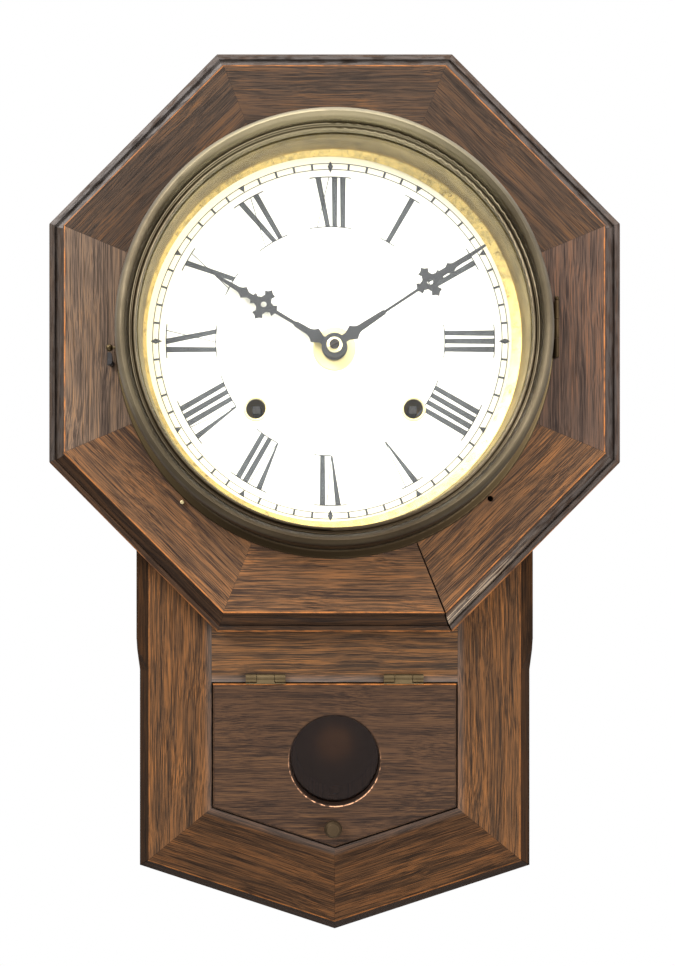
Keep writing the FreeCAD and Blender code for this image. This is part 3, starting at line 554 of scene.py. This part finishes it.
def print_dial():
    ink = print_ink("dial ink")
    surface = frame_front("dial_plate") - PRINT_LIFT
    solid_from("minute_track", minute_track(), surface, PRINT_LIFT, ink, "case")
    shapes = []
    for hour, letters in enumerate(NUMERALS):
        shapes += numeral(letters, hour)
    solid_from("dial_numerals", shapes, surface, PRINT_LIFT, ink, "case")


# ---- materials on the CAD nodes ----

def paint(material, *nodes):
    for node in nodes:
        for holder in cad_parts[node].material_slots:
            holder.material = material


def paint_octagon():
    # Per side: stain, wear, and how strong the painted shade on the moulding and its painted grey sheen are,
    # the last two set by how light falls on that side
    top = {"stain": UPPER_STAIN, "fineness": 1.2, "slope_shade": 0.3, "worn": 0.6}
    left = {"stain": LEFT_STAIN, "slope_shade": 0.75}
    right = {"stain": RIGHT_STAIN, "slope_shade": 0.5}
    low = {"stain": LOWER_STAIN, "fineness": 1.2, "slope_shade": 0.72}
    boards = {"top": (0, {"painted_sheen": 0.55, **top}),
              "top_right": (45, {"painted_sheen": 0.45, **top}),
              "right": (90, {"painted_sheen": 0.3, **right}),
              "bottom_right": (135, {"painted_sheen": 0.35, "lip": 0.5, **low}),
              "bottom": (180, {"lip": 0.5, **low}),
              "bottom_left": (225, {"lip": 0.4, **low}),
              "left": (270, {"painted_sheen": 0.2, **left}),
              "top_left": (315, {"painted_sheen": 0.9, **top})}
    for k, (side, (outward, looks)) in enumerate(boards.items()):
        node = "octagon_board_" + side
        board = oak(node, outward, 1.7 * k, edge=MOULDING, **looks)
        if side == "bottom_right":
            chip_moulding(board, node, outward)
        paint(board.material, node)


def paint_wood():
    paint_octagon()
    slope = math.degrees(math.atan(V_SLOPE))
    drop = {"drop_stile_left": (270, DROP_STAIN),
            "drop_stile_right": (90, DROP_STAIN),
            "drop_bottom_rail_left": (180 + slope, RAIL_STAIN),
            "drop_bottom_rail_right": (180 - slope, RAIL_STAIN)}
    # The drop's chamfers are darkened with painted shade
    for k, (node, (outward, stain)) in enumerate(drop.items()):
        board = oak(node, outward, 20 + 2.3 * k, stain, fineness=1.2, edge=DROP_CHAMFER, slope_shade=0.75, worn=0.3,
                    dusty=0.3, gloss=DROP_GLOSS)
        paint(board.material, node)
    # The top rail takes the lighter stain, painted light against the octagon's shadow
    paint(oak("drop_top_rail", 0, 33, TOP_RAIL_LIT_STAIN, worn=0, dusty=0.6).material, "drop_top_rail")
    door = oak("pendulum_door", 0, 41, DOOR_STAIN, fineness=1.5, worn=0.9)
    low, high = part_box("door_glass")
    wear_window(door, ((low[0] + high[0]) / 2, (low[2] + high[2]) / 2))
    paint(door.material, "pendulum_door")
    paint(oak("door_stop_strips", 90, 43, CASE_STAIN, worn=0).material, "door_stop_strips")
    paint(oak("case_side_left", 90, 47, CASE_STAIN, worn=0).material, "case_side_left", "case_side_right")
    paint(oak("case_top_board", 0, 49, CASE_STAIN, worn=0).material, "case_top_board", "case_bottom_boards")
    paint(oak("backboard", 90, 53, BARE_PINE, worn=0).material, "backboard")


def paint_metal():
    low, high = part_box("bezel_glass")
    centre = ((low[0] + high[0]) / 2, (low[2] + high[2]) / 2)
    paint(bezel_brass("bezel brass", centre), "bezel_ring")
    paint(sight_brass("sight ring brass", centre), "sight_ring")
    paint(dial_paint("dial paint", centre), "dial_plate")
    hinge = brass("door hinge brass", rgb(92, 79, 57), rgb(64, 52, 36), roughness=0.5)
    paint(hinge, "door_hinge_case_leaves", "door_hinge_door_leaves", "door_latch_tongue")
    dark_hinge = brass("bezel hinge brass", rgb(70, 56, 38), rgb(35, 29, 20), roughness=0.45)
    paint(dark_hinge, "bezel_hinge_case_leaf", "bezel_hinge_bezel_leaf")
    paint(brass("knob brass", rgb(70, 58, 43), rgb(48, 38, 27), roughness=0.45), "door_knob")
    paint(brass("pale brass", rgb(240, 230, 184), rgb(222, 206, 150), roughness=0.45), "dial_grommets")
    paint(nut_brass("hand nut brass", (0, 0)), "hand_nut")
    paint(brass("pin brass", rgb(210, 196, 150), rgb(120, 104, 74), roughness=0.3), "case_pin")
    paint(brass("movement brass", rgb(208, 176, 110), rgb(160, 128, 72)), "front_plate", "back_plate",
          "time_main_wheel", "strike_main_wheel", "time_second_wheel", "third_wheel", "escape_wheel",
          "minute_wheel", "hour_wheel", "strike_second_wheel", "fly")
    bob = brass("bob brass", rgb(214, 180, 108), rgb(168, 132, 72), roughness=0.25)
    paint(bob, "pendulum_bob", "rating_nut")
    bright_steel = steel("movement steel", rgb(176, 176, 178))
    paint(bright_steel, "plate_pillars", "anchor_crutch", "hammer", "pendulum_rod")
    arbor_steel = steel("dark arbor steel", rgb(70, 69, 70))
    paint(arbor_steel, "time_winding_arbor", "strike_winding_arbor", "centre_arbor")
    paint(steel("spring steel", rgb(110, 116, 132)), "mainsprings")
    paint(steel("blackened iron", rgb(52, 50, 50), 0.5), "gong", "wall_hanger", "bezel_catch_hook")
    paint(steel("hand black", rgb(34, 36, 41), 0.4, 0.0), "minute_hand", "hour_hand")


def paint_glass():
    paint(glass("bezel glass", (0.985, 0.985, 0.97, 1), (0.55, 0.55, 0.55, 1)), "bezel_glass")
    paint(glass("door glass", (0.50, 0.44, 0.43, 1), (0.5, 0.4, 0.37, 1), 0.05), "door_glass")


# ---- light, floor and camera ----

def softbox(name, location, aim, width, height, power):
    data = bpy.data.lights.new(name, "AREA")
    data.shape = "RECTANGLE"
    data.size = width
    data.size_y = height
    data.energy = power
    lamp = bpy.data.objects.new(name, data)
    lamp.location = location
    lamp.rotation_euler = (Vector(aim) - Vector(location)).to_track_quat("-Z", "Y").to_euler()
    bpy.context.scene.collection.objects.link(lamp)


def light_studio():
    world = bpy.data.worlds.new("studio")
    world.use_nodes = True
    nodes = world.node_tree.nodes
    links = world.node_tree.links
    seen = nodes["Background"]
    seen.inputs["Color"].default_value = (1, 1, 1, 1)
    seen.inputs["Strength"].default_value = 1.0
    lit = nodes.new("ShaderNodeBackground")
    lit.inputs["Color"].default_value = (1, 1, 1, 1)
    direction = nodes.new("ShaderNodeTexCoord")
    parts = nodes.new("ShaderNodeSeparateXYZ")
    fade = nodes.new("ShaderNodeMapRange")
    for key, value in {"From Min": -0.5, "From Max": 0.5, "To Min": SKY_BELOW, "To Max": SKY_ABOVE}.items():
        fade.inputs[key].default_value = value
    links.new(direction.outputs["Generated"], parts.inputs[0])
    links.new(parts.outputs["Z"], fade.inputs["Value"])
    links.new(fade.outputs["Result"], lit.inputs["Strength"])
    path = nodes.new("ShaderNodeLightPath")
    chooser = nodes.new("ShaderNodeMixShader")
    links.new(path.outputs["Is Camera Ray"], chooser.inputs[0])
    links.new(lit.outputs[0], chooser.inputs[1])
    links.new(seen.outputs[0], chooser.inputs[2])
    links.new(chooser.outputs[0], nodes["World Output"].inputs["Surface"])
    bpy.context.scene.world = world
    aim = (0, -0.09, -0.05)
    softbox("key", (-1.6, -1.7, 1.5), aim, 1.5, 1.5, KEY_POWER)
    softbox("fill", (1.7, -1.8, -0.2), aim, 1.6, 1.6, FILL_POWER)
    softbox("top", (0.0, -0.6, 1.5), aim, 1.4, 0.6, TOP_POWER)


def pale_floor():
    mesh = bmesh.new()
    bmesh.ops.create_circle(mesh, cap_ends=True, segments=96, radius=0.9)
    data = bpy.data.meshes.new("floor")
    mesh.to_mesh(data)
    mesh.free()
    m = Shader("pale floor")
    m.set(Base_Color=m.mix(m.noise(m.coords, 3), (0.80, 0.80, 0.79, 1), (0.84, 0.84, 0.83, 1)), Roughness=0.9)
    data.materials.append(m.material)
    floor = bpy.data.objects.new("floor", data)
    floor.location = (0, 0, -1.0)
    bpy.context.scene.collection.objects.link(floor)


def aim_camera():
    data = bpy.data.cameras.new("camera")
    data.lens = CAMERA_LENS
    data.shift_x = CAMERA_SIDE
    data.shift_y = CAMERA_RISE
    data.clip_start = 0.01
    camera = bpy.data.objects.new("camera", data)
    face = frame_front("octagon_board_top")
    camera.location = (CAMERA_X, face - CAMERA_DISTANCE, -CAMERA_BELOW_ARBOR)
    camera.rotation_euler = (math.radians(90), 0, 0)
    bpy.context.scene.collection.objects.link(camera)
    bpy.context.scene.camera = camera


bpy.context.scene.view_settings.view_transform = "Standard"
print_dial()
paint_wood()
paint_metal()
paint_glass()
light_studio()
pale_floor()
aim_camera()
